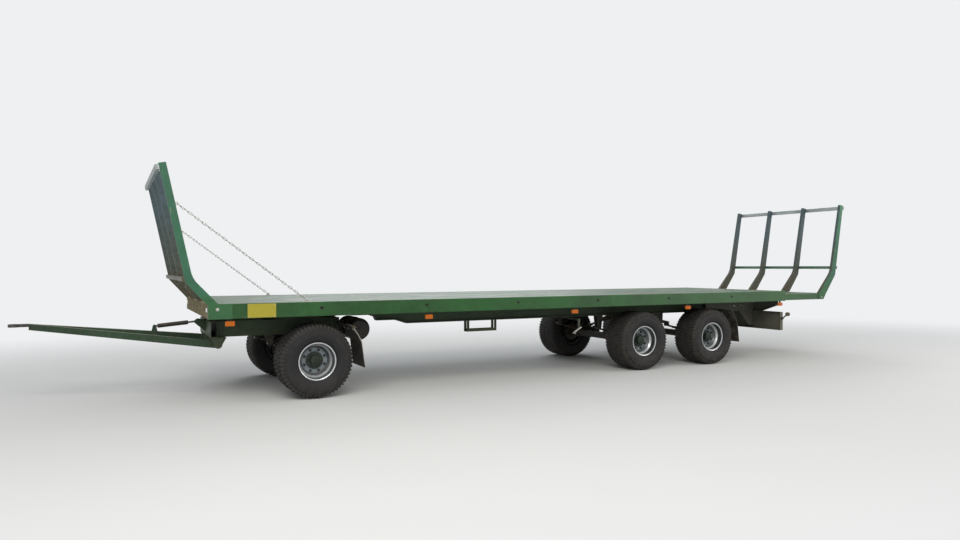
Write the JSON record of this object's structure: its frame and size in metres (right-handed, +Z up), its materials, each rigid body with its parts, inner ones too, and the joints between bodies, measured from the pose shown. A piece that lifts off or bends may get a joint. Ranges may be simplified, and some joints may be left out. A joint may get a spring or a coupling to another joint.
{
  "type": "platform trailer",
  "caption": "Flat farm platform trailer with a turntable front axle, tandem rear axles, a ladder at each end and a rear frame that slides out.",
  "frame": {"origin": "middle of the bounding box, on the ground", "axes": "+X towards the rear ladder, +Y towards the right-hand side, +Z up"},
  "size_m": [13.5316, 2.5, 2.8363],
  "materials": {
    "green_paint": "gloss",
    "floor_paint": "worn satin",
    "worn_paint": "weathered",
    "black_paint": "satin",
    "silver_paint": "satin",
    "chain_steel": "galvanised",
    "zinc_steel": "zinc plated",
    "forged_steel": "worn",
    "chrome": "polished",
    "black_plastic": "matt",
    "amber_lens": "gloss",
    "lamp_plastic": "gloss",
    "yellow_plate": "reflective film",
    "tyre": "matt rubber"
  },
  "bodies": {
    "chassis": {"side_rail_left": "green_paint", "side_rail_right": "green_paint", "end_beams": "green_paint", "floor_panels": "floor_paint", "cross_members": "green_paint", "rear_stringers": "green_paint", "main_beams": "green_paint", "slide_guides": "green_paint", "turntable_upper": "green_paint", "front_ladder_posts": "green_paint", "front_ladder_bars": "worn_paint", "brace_chains": "chain_steel", "chain_lugs": "green_paint", "rear_leaf_springs": "black_paint", "rear_spring_hangers": "black_paint", "equalisers": "black_paint", "rear_axles": "black_paint", "rear_mudguards": "black_plastic", "light_beam": "green_paint", "rear_lamps": "lamp_plastic", "side_markers": "amber_lens", "info_plate": "yellow_plate", "carrier": "green_paint", "brake_crank": "zinc_steel"},
    "dolly": {"turntable_lower": "black_paint", "dolly_frame": "green_paint", "front_axle": "black_paint", "front_leaf_springs": "black_paint", "front_spring_hangers": "black_paint", "front_mudguards": "black_plastic", "air_tank": "black_paint"},
    "drawbar": {"drawbar_frame": "green_paint", "towing_eye": "forged_steel"},
    "cylinder_barrel": {"cylinder_barrel": "black_paint"},
    "cylinder_rod": {"cylinder_rod": "chrome"},
    "rear_frame": {"slide_beams": "green_paint", "slide_frame": "green_paint", "slide_floor": "floor_paint", "rear_ladder_posts": "green_paint", "rear_ladder_bars": "worn_paint"},
    "wheel_1_left": {"rim_1_left": "silver_paint", "tyre_1_left": "tyre"},
    "wheel_1_right": {"rim_1_right": "silver_paint", "tyre_1_right": "tyre"},
    "wheel_2_left": {"rim_2_left": "silver_paint", "tyre_2_left": "tyre"},
    "wheel_2_right": {"rim_2_right": "silver_paint", "tyre_2_right": "tyre"},
    "wheel_3_left": {"rim_3_left": "silver_paint", "tyre_3_left": "tyre"},
    "wheel_3_right": {"rim_3_right": "silver_paint", "tyre_3_right": "tyre"}
  },
  "joints": [
    {"name": "dolly_turn", "type": "hinge", "parent": "chassis", "child": "dolly", "pos_m": [-3.40581, 0, 0.993], "axis": [0, 0, 1], "range_deg": [-35, 35]},
    {"name": "drawbar_tilt", "type": "hinge", "parent": "dolly", "child": "drawbar", "pos_m": [-4.49381, 0, 0.668], "axis": [0, 1, 0], "range_deg": [-20, 12]},
    {"name": "cylinder_swing", "type": "hinge", "parent": "drawbar", "child": "cylinder_barrel", "pos_m": [-5.19381, 0, 0.889], "axis": [0, 1, 0], "range_deg": [-6, 4]},
    {"name": "cylinder_stroke", "type": "slide", "parent": "cylinder_barrel", "child": "cylinder_rod", "axis": [0.9958, 0, 0.0914], "range_m": [-0.07, 0.11]},
    {"name": "rear_frame_slide", "type": "slide", "parent": "chassis", "child": "rear_frame", "axis": [1, 0, 0], "range_m": [-0.9, 0]},
    {"name": "wheel_1_left_spin", "type": "hinge", "parent": "dolly", "child": "wheel_1_left", "pos_m": [-3.40581, -1, 0.466], "axis": [0, 1, 0], "continuous": true},
    {"name": "wheel_1_right_spin", "type": "hinge", "parent": "dolly", "child": "wheel_1_right", "pos_m": [-3.40581, 1, 0.466], "axis": [0, 1, 0], "continuous": true},
    {"name": "wheel_2_left_spin", "type": "hinge", "parent": "chassis", "child": "wheel_2_left", "pos_m": [1.86019, -1, 0.466], "axis": [0, 1, 0], "continuous": true},
    {"name": "wheel_2_right_spin", "type": "hinge", "parent": "chassis", "child": "wheel_2_right", "pos_m": [1.86019, 1, 0.466], "axis": [0, 1, 0], "continuous": true},
    {"name": "wheel_3_left_spin", "type": "hinge", "parent": "chassis", "child": "wheel_3_left", "pos_m": [3.34219, -1, 0.466], "axis": [0, 1, 0], "continuous": true},
    {"name": "wheel_3_right_spin", "type": "hinge", "parent": "chassis", "child": "wheel_3_right", "pos_m": [3.34219, 1, 0.466], "axis": [0, 1, 0], "continuous": true}
  ],
  "couplings": [
    {"joint": "cylinder_swing", "follows": "drawbar_tilt", "ratio": 0.248},
    {"joint": "cylinder_stroke", "follows": "drawbar_tilt", "m_per_rad": -0.287}
  ]
}
